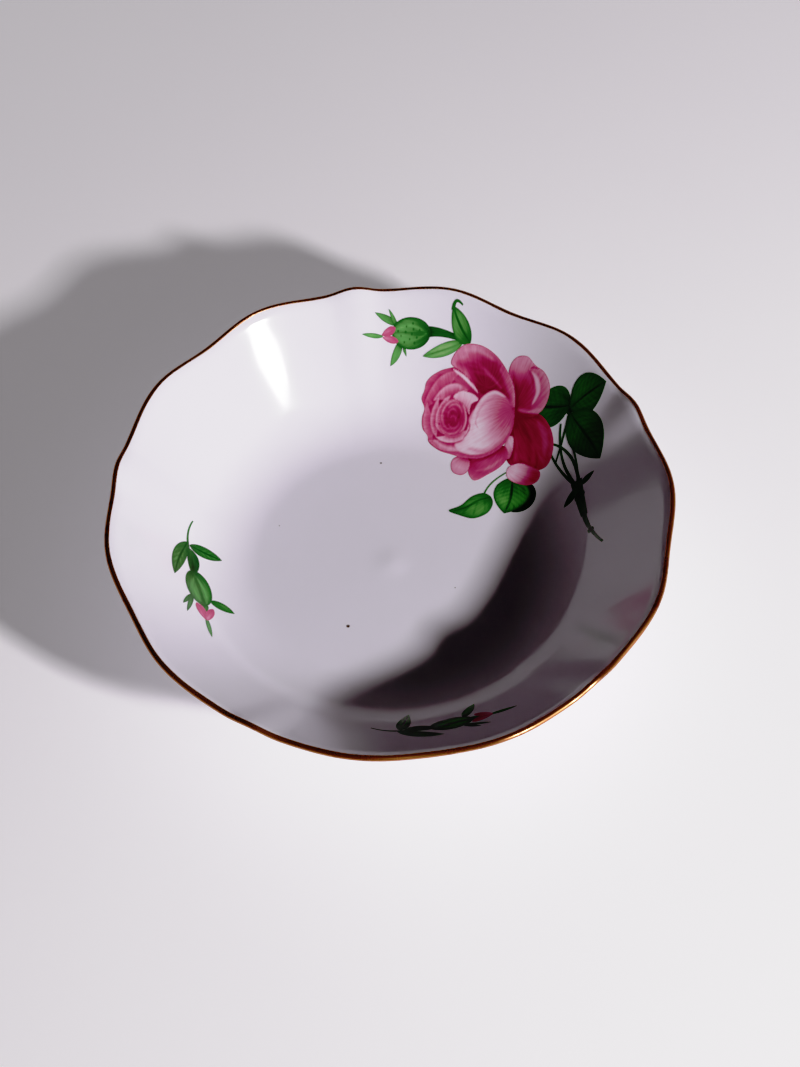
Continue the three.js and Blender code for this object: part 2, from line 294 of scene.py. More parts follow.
def new_finish(name):
    """A material, the wire of its object coordinates in metres, and its shader."""
    material = bpy.data.materials.new(name)
    material.use_nodes = True
    tree = material.node_tree
    shader = tree.nodes["Principled BSDF"]
    coordinates = tree.nodes.new("ShaderNodeTexCoord")
    return material, Wire(tree, coordinates.outputs["Object"]), shader


def set_shader(place, shader, **values):
    for name, value in values.items():
        place.feed(shader.inputs[name.replace("_", " ")], value)


def attribute(place, name, output="Fac"):
    return place.node("ShaderNodeAttribute", {"attribute_name": name}, {}, output)


def bump(place, height, strength, distance):
    """A surface normal from a height that runs from 0 to 1 and stands for `distance` metres."""
    return place.node("ShaderNodeBump", {}, {"Height": height, "Strength": strength, "Distance": distance})


SPECKS = [((-11.6, -20.0), 0.5), ((-2.8, 33.6), 0.32), ((17.5, -8.0), 0.18), ((-31.0, 12.5), 0.16)]


def glazed_porcelain():
    material, place, shader = new_finish("glazed_porcelain")
    cloud = place.noise(28, detail=3)
    white = cloud.mix((0.785, 0.756, 0.838, 1), (0.825, 0.795, 0.878, 1))
    for (x, y), radius in SPECKS:
        middle = (x * MM, y * MM, FLOOR_TOP * MM)
        at = place.node("ShaderNodeVectorMath", {"operation": "DISTANCE"}, {0: place, 1: middle}, "Value")
        ragged = at + (place.noise(2500) - 0.5) * (radius * 0.8 * MM)
        white = ragged.between(radius * 1.25 * MM, radius * 0.6 * MM).mix(white, (0.07, 0.045, 0.04, 1))
    bare = attribute(place, "bare")
    grain = place.noise(3200, detail=4)
    colour = bare.mix(white, grain.mix((0.62, 0.585, 0.54, 1), (0.76, 0.73, 0.69, 1)))
    gloss = 0.055 + place.noise(90) * 0.05
    roughness = gloss * (1 - bare) + (0.7 + grain * 0.2) * bare
    ripple = place.noise(45, detail=1) * (1 - bare) + grain * bare * 0.12
    set_shader(
        place, shader,
        Base_Color=colour, Roughness=roughness, Normal=bump(place, ripple, 0.35, 0.0002), IOR=1.5,
    )
    return material


body.data.materials.append(glazed_porcelain())
heights = points[:, 2]
distances = np.hypot(points[:, 0], points[:, 1])
in_foot = (distances > FOOT_INNER_RADIUS - 0.1) & (distances < FOOT_OUTER_RADIUS + 0.1)
bare = np.where(in_foot, np.clip((0.5 - heights) / 0.3, 0, 1), 0)
body.data.attributes.new("bare", "FLOAT", "POINT").data.foreach_set("value", bare.astype(np.float32))
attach(body, "root")
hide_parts("dish_body")


# ----------------------------------------------------------------------
# The gilt line. Bright gold laid on the crown of the lip with a small brush while the dish turned on a
# wheel, fired on, and worn a little thin by hands. Its edges wander as the brush did.
# ----------------------------------------------------------------------

GILT_LIFT, GILT_THICKNESS = 0.02, 0.05
GILT_INSIDE, GILT_OUTSIDE = 124, 2  # how far over the crown it reaches, as angles above the horizontal
GILT_STEPS = 14


def wander(azimuth, waves):
    """An uneven brush: a few slow waves round the lip, from -1 to 1."""
    return sum(np.sin(np.radians(azimuth * count + start)) for count, start in waves) / len(waves)


def gilt_arc(radius):
    azimuth = FIRST_CUSP + np.arange(AZIMUTHS) * 360 / AZIMUTHS
    inside = GILT_INSIDE + 5 * wander(azimuth, [(7, 20), (17, 75), (41, 10)])
    outside = GILT_OUTSIDE + 5 * wander(azimuth, [(5, 120), (19, 0), (37, 45)])
    angle = np.radians(np.linspace(inside, outside, GILT_STEPS))
    out, up = lip_wave(azimuth)
    r = LIP_RADIUS + radius * np.cos(angle) + out
    z = LIP_HEIGHT + radius * np.sin(angle) + up
    turn = np.radians(azimuth)
    return np.stack([r * np.cos(turn), r * np.sin(turn), z], axis=-1)


under = LIP_THICKNESS / 2 + GILT_LIFT
rings = np.concatenate([gilt_arc(under + GILT_THICKNESS), gilt_arc(under)[::-1]])
rings = np.concatenate([rings, rings[:1]])
points = rings[:-1].reshape(-1, 3)
faces = np.array(band_faces(len(rings))) % len(points)
gilt = new_piece("gilt_line", points, faces.tolist())


def worn_gold():
    material, place, shader = new_finish("gilt")
    worn = place.noise(260, detail=4, roughness=0.6).between(0.5, 0.72)
    smear = place.noise(70)
    gold = smear.mix((0.40, 0.155, 0.07, 1), (0.52, 0.25, 0.10, 1))
    set_shader(
        place, shader,
        Base_Color=worn.mix(gold, (0.20, 0.06, 0.035, 1)), Metallic=0.86,
        Roughness=0.2 + smear * 0.12 + worn * 0.15,
        Normal=bump(place, place.noise(900), 0.3, 0.00005),
    )
    return material


gilt.data.materials.append(worn_gold())
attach(gilt, "root")
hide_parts("gilt_rim")


# ----------------------------------------------------------------------
# The open rose. Enamel is laid over the fired glaze petal by petal, palest at the curled lips and darkest
# where a petal goes under the next, and fired on at a low heat. It stands some hundredths proud.
# ----------------------------------------------------------------------

ENAMEL_LIFT, ENAMEL_THICKNESS = 0.015, 0.06
STROKE_LENGTH, STROKE_WIDTH = 5.0, 0.7
LAYER_SHIFT = 7.3  # so that no two petals get the same streaks


def on_glaze(plan, lift):
    """Points seen from above, put on the inside of the dish and lifted off its glaze."""
    distance = np.hypot(plan[:, 0], plan[:, 1])
    out, up = lip_wave(np.degrees(np.arctan2(plan[:, 1], plan[:, 0])))
    r = distance.copy()
    for _ in range(6):
        r = distance - wave_share(r) * out
    turn = inside_turn(r)
    z = inside_height(r) + wave_share(r) * up + lift * np.cos(turn)
    nearer = (distance - lift * np.sin(turn)) / distance
    return np.column_stack([plan * nearer[:, None], z])


def smooth_line(points, closed=True, spacing=0.25):
    """A curve through the points. A point given twice is a corner."""
    points = np.array(points, float)
    if closed:
        ring = np.concatenate([points[-1:], points, points[:2]])
    else:
        ring = np.concatenate([points[:1], points, points[-1:]])
    curve = []
    for p0, p1, p2, p3 in zip(ring, ring[1:], ring[2:], ring[3:]):
        count = max(1, round(np.linalg.norm(p2 - p1) / spacing))
        if np.allclose(p1, p2):
            continue
        t = (np.arange(count) / count)[:, None]
        curve.append(
            0.5 * (2 * p1 + (p2 - p0) * t + (2 * p0 - 5 * p1 + 4 * p2 - p3) * t**2
                   + (3 * p1 - p0 - 3 * p2 + p3) * t**3)
        )
    if not closed:
        curve.append(points[-1:])
    return np.concatenate(curve)


def line_distance(points, start, end):
    """Each point's distance to the nearest of some straight pieces, and where along them that is."""
    along = end - start
    length = np.maximum((along**2).sum(1), 1e-12)
    offset = points[:, None] - start
    share = np.clip((offset * along).sum(2) / length, 0, 1)
    distance = np.sqrt(((offset - share[..., None] * along) ** 2).sum(2))
    nearest = distance.argmin(1)
    rows = np.arange(len(points))
    return distance[rows, nearest], (nearest + share[rows, nearest]) / len(start)


def depth_inside(points, outline):
    """How far each point is inside a closed outline. Outside it is negative."""
    end = np.roll(outline, -1, axis=0)
    distance = line_distance(points, outline, end)[0]
    x, y = points[:, 0, None], points[:, 1, None]
    crossed = (outline[:, 1] > y) != (end[:, 1] > y)
    rise = np.where(end[:, 1] == outline[:, 1], 1e-12, end[:, 1] - outline[:, 1])
    crossed &= x < (end[:, 0] - outline[:, 0]) * (y - outline[:, 1]) / rise + outline[:, 0]
    return np.where(crossed.sum(1) % 2 == 1, distance, -distance)


def near(points, outline):
    """As depth_inside, but worked out only close to the outline. Elsewhere it is far below zero."""
    margin = 4
    close = ((points > outline.min(axis=0) - margin) & (points < outline.max(axis=0) + margin)).all(axis=1)
    depth = np.full(len(points), -99.0)
    for start in range(0, close.sum(), 4000):
        part = np.flatnonzero(close)[start:start + 4000]
        depth[part] = depth_inside(points[part], outline)
    return depth


class Canvas:
    """A patch of enamel: its points seen from above, how dark each one is, and how the brush ran there."""

    def __init__(self, outlines, under=(), spacing=0.3):
        """The outlines together, less what lies under the outlines of another patch."""
        edges = [np.asarray(outline) for outline in outlines]
        cuts = list(under)
        fill = self.grid(edges, cuts, spacing)
        loops, count = [], len(fill)
        for edge in edges + cuts:
            index = count + np.arange(len(edge))
            loops += np.column_stack([index, np.roll(index, -1)]).tolist()
            count += len(edge)
        plan = np.concatenate([fill] + edges + cuts)
        plan, _, faces, *_ = delaunay_2d_cdt([Vector(point) for point in plan], loops, [], 0, 1e-6, False)
        plan, faces = np.array([tuple(point) for point in plan]), np.array([tuple(face) for face in faces])
        middles = plan[faces].mean(axis=1)
        inside = self.deepest(middles, edges) > 0
        if cuts:
            inside &= self.deepest(middles, cuts) < 0
        used, faces = np.unique(faces[inside], return_inverse=True)
        self.points, self.faces = plan[used], faces.reshape(-1, 3)
        self.tone = np.full(len(self.points), 0.5)
        self.brush = np.zeros((len(self.points), 3))
        self.layers = 0

    @staticmethod
    def deepest(points, outlines):
        return np.max([near(points, outline) for outline in outlines], axis=0)

    def grid(self, edges, cuts, spacing):
        """Evenly spread points inside the outlines, not too close to any edge."""
        low = np.min([edge.min(axis=0) for edge in edges], axis=0)
        high = np.max([edge.max(axis=0) for edge in edges], axis=0)
        x, y = np.meshgrid(
            np.arange(low[0], high[0], spacing), np.arange(low[1], high[1], spacing * math.sqrt(0.75))
        )
        x[1::2] += spacing / 2
        spread = np.column_stack([x.ravel(), y.ravel()])
        spread = spread[self.deepest(spread, edges) > 0.35 * spacing]
        for edge in edges + cuts:
            spread = spread[np.abs(near(spread, edge)) > 0.35 * spacing]
        return spread

    def cover(self, mask, tone, brush=None):
        """Lays a tone over part of the patch."""
        self.tone = self.tone * (1 - mask) + tone * mask
        if brush is not None:
            self.brush[mask > 0.5] = brush[mask > 0.5]

    def fan(self, base, tip):
        """Brush coordinates that spread from the base, and how far along base to tip each point is."""
        offset = self.points - base
        reach = np.linalg.norm(np.subtract(tip, base))
        radius = np.hypot(offset[:, 0], offset[:, 1])
        heading = math.atan2(tip[1] - base[1], tip[0] - base[0])
        angle = np.arctan2(offset[:, 1], offset[:, 0]) - heading
        angle = (angle + np.pi) % (2 * np.pi) - np.pi
        across = angle * (radius * 0.5 + reach * 0.3)
        self.layers += 1
        layer = np.full(len(radius), self.layers * LAYER_SHIFT)
        brush = np.column_stack([radius / STROKE_LENGTH, across / STROKE_WIDTH, layer])
        return brush, radius / reach

    def petal(self, outline, base, tip, tones, edge=None, edge_width=0.5, shade=0.25, soft=0.25):
        """One petal over what is there, toned from its base to its tip, with an edge of its own tone."""
        depth = near(self.points, smooth_line(outline))
        self.tone += shade * np.exp(np.minimum(depth, 0) / 0.6) * (depth < 0)
        brush, along = self.fan(base, tip)
        tone = np.interp(along, np.linspace(0, 1, len(tones)), tones)
        if edge is not None:
            rim = np.exp(-np.maximum(depth, 0) / edge_width) * np.clip(along * 1.6 - 0.4, 0, 1)
            tone = tone * (1 - rim) + edge * rim
        self.cover(np.clip(depth / soft + 0.5, 0, 1), tone, brush)

    def petal_over(self, outline, base, tip, tones, edge, shade=0.12):
        """As a petal, for an outline that is ready made and has its edge all round."""
        depth = near(self.points, outline)
        self.tone += shade * np.exp(np.minimum(depth, 0) / 0.4) * (depth < 0)
        brush, along = self.fan(base, tip)
        tone = np.interp(along, np.linspace(0, 1, len(tones)), tones)
        rim = np.exp(-np.maximum(depth, 0) / 0.45)
        self.cover(np.clip(depth / 0.25 + 0.5, 0, 1), tone * (1 - rim) + edge * rim, brush)

    def line(self, path, width, tone, strength=1.0, soft=0.2):
        """One touch of the brush along a path, widest in its middle."""
        path = smooth_line(path, closed=False)
        distance, along = line_distance(self.points, path[:-1], path[1:])
        half = width / 2 * np.sin(np.pi * np.clip(along, 0.02, 0.98)) ** 0.5
        self.cover(strength * np.clip((half - distance) / soft + 0.5, 0, 1), tone)

    def glow(self, centre, radius, tone, strength=0.6):
        """A soft patch of lighter or darker enamel."""
        distance = np.hypot(*(self.points - centre).T)
        self.cover(strength * np.exp(-(distance / radius) ** 2), tone)

    def fire(self, name, material, node, slot):
        """Makes the patch a thin closed solid on the glaze, and puts it in the model."""
        count = len(self.points)
        rim = {}
        for a, b, c in self.faces.tolist():
            for edge in ((a, b), (b, c), (c, a)):
                if edge[::-1] in rim:
                    del rim[edge[::-1]]
                else:
                    rim[edge] = True
        top, low = self.faces, self.faces[:, ::-1] + count
        sides = [[b, a, a + count, b + count] for a, b in rim]
        plan = np.concatenate([
            on_glaze(self.points, ENAMEL_LIFT + ENAMEL_THICKNESS),
            on_glaze(self.points, ENAMEL_LIFT),
        ])
        piece = new_piece(name, plan, top.tolist() + low.tolist() + sides)
        mesh = piece.data
        sharp = {tuple(sorted(edge)) for edge in rim}
        sharp |= {(a + count, b + count) for a, b in sharp}
        marks = [tuple(sorted(edge.vertices)) in sharp for edge in mesh.edges]
        mesh.attributes.new("sharp_edge", "BOOLEAN", "EDGE").data.foreach_set("value", marks)
        tone = np.tile(self.tone, 2).astype(np.float32)
        brush = np.tile(self.brush, (2, 1)).astype(np.float32)
        mesh.attributes.new("tone", "FLOAT", "POINT").data.foreach_set("value", tone)
        mesh.attributes.new("brush", "FLOAT_VECTOR", "POINT").data.foreach_set("vector", brush.ravel())
        mesh.materials.append(material)
        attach(piece, "root")
        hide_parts(node)
        return piece


def enamel(name, stops, streak):
    """Fired enamel. Its tone, and the streaks that the brush left, pick a colour between the stops."""
    material, place, shader = new_finish(name)
    tone = attribute(place, "tone")
    brush = attribute(place, "brush", "Vector")
    streaks = brush.noise(1.0, detail=3, roughness=0.6)
    blotch = place.noise(420, detail=2)
    mixed = tone + (streaks - 0.5) * streak + (blotch - 0.5) * (streak * 0.35)
    colour = mixed.node("ShaderNodeValToRGB", {"stops": stops}, {"Fac": mixed})
    set_shader(
        place, shader,
        Base_Color=colour, Roughness=0.13 + streaks * 0.1, IOR=1.5,
        Normal=bump(place, streaks * 0.7 + blotch * 0.3, 0.4, 0.00006),
    )
    return material


ROSE_TONES = [
    (0.0, (0.83, 0.68, 0.80, 1)),
    (0.25, (0.72, 0.345, 0.50, 1)),
    (0.5, (0.54, 0.10, 0.225, 1)),
    (0.75, (0.38, 0.034, 0.105, 1)),
    (1.0, (0.18, 0.017, 0.052, 1)),
]
rose_enamel = enamel("rose_enamel", ROSE_TONES, streak=0.34)

RIGHT_LOWER = [
    (34.4, 44.4), (38.6, 43.2), (42.4, 41), (44.9, 37), (45.6, 32.6), (44.2, 28.8), (41.4, 28),
    (37.5, 29.6), (33.6, 31.4), (32.4, 35), (33, 40),
]
RIGHT_UPPER = [
    (33.8, 54.2), (35.8, 55.6), (38.6, 54.9), (40.8, 52.4), (43.3, 50), (44.7, 46.6), (43.8, 43.2),
    (41.4, 41.6), (38.4, 42.2), (35.6, 44.2), (34.2, 47.5), (33.4, 51),
]
RIGHT_LOBE = [
    (32.6, 29.2), (33.5, 30.9), (36.6, 31.2), (39.4, 29.6), (41.8, 27.6), (41.3, 25.2), (38.7, 24.4),
    (35.3, 25.6), (33.1, 27.3),
]
SMALL_PIECE = [(32, 36), (33.2, 38.8), (34.7, 38.6), (34.6, 35.4), (33.6, 33.2), (32.2, 33.6)]
LOWER_LOBE = [
    (20.6, 35.6), (26, 36), (31.8, 37), (33.1, 34), (31.2, 31.4), (27.4, 29.2), (23.8, 27.4),
    (22.3, 28.8), (21.6, 31.5),
]
LEFT_LOBE = [
    (17.8, 34.8), (20.6, 36), (22.4, 33.6), (21.7, 30.6), (19.8, 29.3), (17.6, 30.2), (17, 32.6),
]
BALL = [
    (17.6, 57.3), (13.6, 56.9), (10.6, 55.5), (9.7, 53.5), (8.9, 51.8), (9.7, 49.5), (9, 47.2),
    (9.1, 44.4), (10.5, 42.2), (10.9, 40.2), (13.6, 37.7), (17.2, 36.2), (21.4, 34.8), (26, 34.6),
    (30.8, 36.4), (34.2, 39.8), (35.2, 44), (34.4, 49), (31, 54), (25.6, 57),
]
UPPER = [
    (17.4, 58), (18.6, 60.2), (21.6, 61.3), (26, 60.2), (30, 57.4), (33, 53.6), (35, 49.6),
    (35.2, 45.4), (33.6, 46.4), (30, 49.4), (25.4, 50.9), (23, 53.6), (20.6, 56),
]

bloom_outlines = [
    smooth_line(outline, spacing=0.3)
    for outline in (RIGHT_LOWER, RIGHT_UPPER, RIGHT_LOBE, SMALL_PIECE, LOWER_LOBE, LEFT_LOBE, BALL, UPPER)
]
bloom_outlines.append(smooth_line([(34, 44.4), (35, 45.4), (36, 44.4), (35, 43.4)], spacing=0.3))
bloom = Canvas(bloom_outlines)

bloom.petal(RIGHT_LOWER, (35, 44), (42.5, 28), [0.98, 0.88, 0.86, 0.76, 0.7], edge=0.58, edge_width=0.4)
bloom.line([(36.4, 42), (38.6, 36.6), (39.2, 31.4)], 1.6, 1.0, 0.7, soft=1.0)
bloom.line([(41.4, 40), (43.2, 36), (43.2, 31.4)], 1.5, 0.5, 0.6, soft=0.9)
bloom.line([(35, 40.6), (35.4, 35.6), (35, 31.8)], 1.2, 0.6, 0.55, soft=0.8)
bloom.line([(40.6, 34), (41.2, 31), (40.6, 28.4)], 0.6, 1.0, 0.6, soft=0.5)

bloom.petal(RIGHT_UPPER, (35, 45), (41, 53.4), [0.85, 0.78, 0.66, 0.5, 0.42], edge=0.3, edge_width=0.7)
bloom.glow((37.2, 48.4), 2.8, 0.88, 0.85)
bloom.glow((37.2, 53.4), 2.2, 0.3, 0.6)
bloom.line([(34.6, 53), (35.6, 49.6), (35.8, 46.4)], 1.0, 0.8, 0.6, soft=0.6)
bloom.line([(39.8, 51.2), (41.2, 49), (41.4, 46.4), (40, 44.4)], 1.1, 0.1, 0.85, soft=0.5)
bloom.line([(38.9, 51.8), (40, 50), (40.2, 47.4)], 0.7, 0.85, 0.6, soft=0.4)
bloom.line([(39.4, 52.3), (40.6, 52), (41.6, 51.4)], 0.35, 0.8, 0.8)
bloom.line([(36.2, 44.4), (39, 42.9), (42, 42.6)], 0.9, 0.25, 0.6, soft=0.6)
bloom.line([(34.6, 44.6), (37.2, 43), (41.4, 41.4)], 0.7, 1.0, 0.9, soft=0.4)

bloom.petal(RIGHT_LOBE, (33, 30.6), (41.6, 26), [0.22, 0.1, 0.3, 0.72, 0.85], edge=0.5)
bloom.petal(SMALL_PIECE, (34.4, 34), (33, 38), [0.5, 0.2, 0.12], shade=0.3)
bloom.petal(LOWER_LOBE, (31.6, 37), (22.6, 28.4), [0.85, 0.62, 0.55, 0.66, 0.5], edge=0.36, shade=0.2)
bloom.line([(31.4, 33.6), (28, 31.4), (24.2, 30.6)], 1.0, 0.3, 0.5, soft=0.7)
bloom.line([(29.6, 35.4), (26, 34.2), (22.8, 33.4)], 0.8, 0.8, 0.6, soft=0.5)
bloom.petal(LEFT_LOBE, (21.6, 35.4), (18, 30.4), [0.7, 0.4, 0.28, 0.34], edge=0.45, edge_width=0.35)

bloom.petal(BALL, (22, 46), (9.4, 46), [0.75, 0.7, 0.55, 0.5, 0.62], edge=0.4, edge_width=0.6)


def crescent(centre, radii, angles, thickness):
    """A petal curled round the heart: it runs from one angle to the other and is thickest in between."""
    turn = np.radians(np.linspace(*angles, 9))
    swell = np.sin(np.linspace(0, np.pi, 9))
    outer = [(centre[0] + radii[0] * math.cos(a), centre[1] + radii[1] * math.sin(a)) for a in turn]
    inner = [
        (
            centre[0] + (radii[0] - thickness * s - 0.15) * math.cos(a),
            centre[1] + (radii[1] - thickness * s - 0.15) * math.sin(a),
        )
        for a, s in zip(turn, swell)
    ]
    return outer + inner[::-1]


HEART = (17.6, 46.2)
# Guard petals, from the outside inwards: radii, angles, thickness, tones from heart to lip, the lip's tone.
GUARDS = [
    ((8.7, 10.4), (74, 164), 4.2, [0.66, 0.56, 0.48], 0.36),
    ((8.3, 9.2), (150, 224), 3.4, [0.62, 0.52, 0.46], 0.34),
    ((8.6, 9.0), (216, 300), 3.8, [0.68, 0.58, 0.5], 0.4),
    ((6.9, 7.8), (48, 140), 3.4, [0.66, 0.46, 0.3], 0.1),
    ((6.2, 6.9), (128, 222), 2.8, [0.66, 0.5, 0.36], 0.22),
    ((6.7, 6.4), (226, 330), 3.2, [0.6, 0.36, 0.18], 0.04),
    ((4.7, 5.5), (96, 196), 2.2, [0.7, 0.5, 0.3], 0.1),
    ((4.9, 4.4), (188, 286), 2.0, [0.72, 0.56, 0.4], 0.26),
]
for radii, angles, thickness, tones, lip in GUARDS:
    middle = math.radians(sum(angles) / 2)
    tip = (HEART[0] + radii[0] * math.cos(middle), HEART[1] + radii[1] * math.sin(middle))
    bloom.petal(
        crescent(HEART, radii, angles, thickness), HEART, tip, [0.9, 0.8] + tones,
        edge=lip, edge_width=0.55, shade=0.2, soft=0.5,
    )

bloom.petal(UPPER, (27, 52), (26.4, 61), [0.9, 0.92, 0.84, 0.58, 0.4], edge=0.34, edge_width=0.8, shade=0.3)
bloom.line([(19.4, 57.8), (24, 56.2), (29, 52.4), (33.8, 47.4)], 2.6, 0.92, 0.6, soft=1.4)
for shift in (0, 1.5, 3):
    streak = [(20.6 + shift, 58.6 - shift), (25.4 + shift, 56.6 - shift), (31.4, 50.4)]
    bloom.line(streak, 0.5, 0.45, 0.35, soft=0.6)
bloom.line([(21, 60.2), (25, 59.6), (29.4, 56.6)], 1.0, 0.22, 0.6, soft=0.7)
bloom.line([(31, 54.6), (33, 51.4), (34, 48.4)], 0.9, 0.4, 0.5, soft=0.6)
bloom.line([(18, 56.9), (21, 54.8), (23.4, 52.6), (25, 50.8)], 0.75, 0.05)
bloom.line([(17.6, 56), (20.4, 53.6), (22.4, 51.8)], 1.0, 0.55, 0.7, soft=0.6)

CHEEK = [
    (20.6, 40.4), (22, 43.6), (23.2, 46.4), (25.6, 49.2), (29, 50.2), (32.2, 48.6), (34.4, 45.4),
    (34.4, 41.6), (32, 38.4), (28, 36.2), (23.6, 35.6), (19.6, 37), (18.2, 39.2),
]
bloom.petal(
    CHEEK, (34.6, 45), (20.4, 40), [0.66, 0.56, 0.44, 0.24, 0.08, 0.0, 0.06],
    edge=0.2, edge_width=0.6, shade=0.2, soft=0.7,
)
bloom.line([(22.4, 37.4), (27, 36.4), (32, 38.6), (34, 41.6)], 1.6, 0.5, 0.6, soft=1.2)
bloom.glow((24.6, 42.6), 2.6, 0.0, 0.7)
bloom.line([(23.4, 46.4), (26, 49.2), (29.4, 50), (32.6, 48.2)], 0.8, 0.06, 0.9, soft=0.4)
bloom.line([(24.4, 46.2), (26.6, 48.2), (29.4, 48.8)], 0.5, 0.5, 0.5, soft=0.5)
bloom.line([(22.6, 45.6), (22.4, 43), (20.8, 40.8)], 0.45, 0.6, 0.8)
bloom.line([(12.4, 41), (15, 38.8), (19, 37.6), (23.4, 36.8)], 1.3, 0.1, 0.65, soft=1.0)
bloom.line([(23.6, 47.4), (22.6, 45.4), (23.6, 43.8), (22.8, 42)], 0.9, 0.1, 0.7, soft=0.5)
bloom.line([(25.2, 46.6), (24.2, 44.6), (24.9, 42.8)], 0.35, 0.42, 0.6, soft=0.3)

FLAP = [(18, 51.2), (20.4, 52), (23.4, 51), (25, 49.4), (23, 48.8), (22.4, 46.6), (21.2, 48.6)]
bloom.petal(FLAP, (21, 47.6), (23, 51.4), [0.5, 0.3, 0.14, 0.1], edge=0.05, edge_width=0.35)

CORE = [
    (13.8, 46.6), (14.6, 49.8), (17.6, 50.8), (20.6, 49.6), (21.6, 46.4), (20.8, 42.6), (17.8, 41.4),
    (15, 42.8),
]
bloom.petal(
    CORE, (17.7, 46.2), (14, 46.6), [0.75, 0.85, 0.85, 0.75, 0.7],
    edge=0.45, edge_width=0.3, shade=0.2,
)
# The heart's curls: half size, its middle's shift, the angles it runs between, tone.
CURLS = [
    (3.2, (0.2, 0.5), (60, 190), 0.25),
    (3.3, (-0.2, -0.1), (215, 330), 0.35),
    (2.3, (0.5, 0.8), (10, 130), 0.3),
    (2.2, (-0.5, 0), (150, 275), 0.45),
    (1.5, (0.4, -0.7), (190, 350), 0.5),
    (1.3, (0.1, 0.9), (30, 200), 0.55),
    (0.8, (0.2, -0.2), (-30, 150), 0.45),
    (3.7, (0.3, 0), (-60, 40), 0.15),
]
for size, shift, angles, tone in CURLS:
    turn = np.radians(np.linspace(*angles, 7))
    x, y = HEART[0] + shift[0], HEART[1] + shift[1]
    curl = [(x + size * math.cos(a), y + size * 1.15 * math.sin(a)) for a in turn]
    bloom.line(curl, 0.55, tone, 0.75, soft=0.45)
bloom.glow((18, 46.4), 1.1, 0.9, 0.4)

bloom.fire("rose_bloom_enamel", rose_enamel, "rose_bloom", "rose_enamel")


# ----------------------------------------------------------------------
# The branch behind the rose. Leaf green with dark veins, then the stems that gather below the leaves, two
# leaflets and the cut end, each put on with one or two touches of a pointed brush.
# ----------------------------------------------------------------------

GREEN_TONES = [
    (0.0, (0.50, 0.63, 0.33, 1)),
    (0.3, (0.115, 0.37, 0.105, 1)),
    (0.55, (0.038, 0.145, 0.045, 1)),
    (0.8, (0.018, 0.075, 0.028, 1)),
    (1.0, (0.010, 0.018, 0.012, 1)),
]
green_enamel = enamel("green_enamel", GREEN_TONES, streak=0.3)


def leaf_outline(base, tip, left, right, count=22):
    """A leaf from base to tip, as wide as `left` and `right` on its two sides."""
    base, tip = np.array(base, float), np.array(tip, float)
    along = tip - base
    across = np.array([-along[1], along[0]]) / np.hypot(*along)
    t = np.linspace(0, 1, count)[:, None]

    def side(width):
        first = base + 0.15 * along + across * width / 0.75
        second = base + 0.65 * along + across * width / 0.75
        return (1 - t)**3 * base + 3 * (1 - t)**2 * t * first + 3 * (1 - t) * t**2 * second + t**3 * tip

    return np.concatenate([side(left)[:-1], side(-right)[:0:-1]])


def stem_outline(start, bend, end, start_width, end_width, count=16):
    """A stem that bends towards a point on its way, and changes width from one end to the other."""
    start, bend, end = (np.array(point, float) for point in (start, bend, end))
    t = np.linspace(0, 1, count)[:, None]
    middle = (1 - t)**2 * start + 2 * (1 - t) * t * bend + t**2 * end
    ahead = 2 * (1 - t) * (bend - start) + 2 * t * (end - bend)
    across = np.column_stack([-ahead[:, 1], ahead[:, 0]]) / np.linalg.norm(ahead, axis=1)[:, None]
    half = (start_width + t * (end_width - start_width)) / 2
    return np.concatenate([middle + across * half, (middle - across * half)[::-1]])


def oval_outline(centre, half_length, half_width, turn, count=36):
    angle, turn = np.linspace(0, 2 * np.pi, count, endpoint=False), math.radians(turn)
    x, y = half_length * np.cos(angle), half_width * np.sin(angle)
    return np.column_stack([
        centre[0] + x * math.cos(turn) - y * math.sin(turn),
        centre[1] + x * math.sin(turn) + y * math.cos(turn),
    ])


def paint_leaf(canvas, leaf, tones, edge, veins=0, midrib=0.0, rib_tone=0.95):
    """Paints one leaf: a body with its own edge, and a midrib and side veins in a darker tone."""
    base, tip, left, right = leaf
    outline = leaf_outline(*leaf)
    canvas.petal_over(outline, base, tip, tones, edge)
    base, tip = np.array(base, float), np.array(tip, float)
    along = tip - base
    across = np.array([-along[1], along[0]]) / np.hypot(*along)
    lean = across * (left - right) / 2 * 0.8
    rib = [base + along * share + lean * math.sin(math.pi * share) for share in np.linspace(0.03, 0.93, 5)]
    for number in range(veins):
        start = 0.12 + 0.62 * number / veins
        for side, width in ((1, left), (-1, right)):
            root = base + along * start + lean * math.sin(math.pi * start)
            reach = width * 0.8 * math.sin(math.pi * min(start + 0.22, 0.9)) ** 0.6
            end = base + along * (start + 0.2) + across * side * reach
            middle = root * 0.45 + end * 0.55 - along * 0.02
            canvas.line([root, middle, end], midrib * 0.5, rib_tone, 0.32, soft=0.5)
    if midrib:
        canvas.line(rib, midrib, rib_tone, 0.9, soft=0.25)


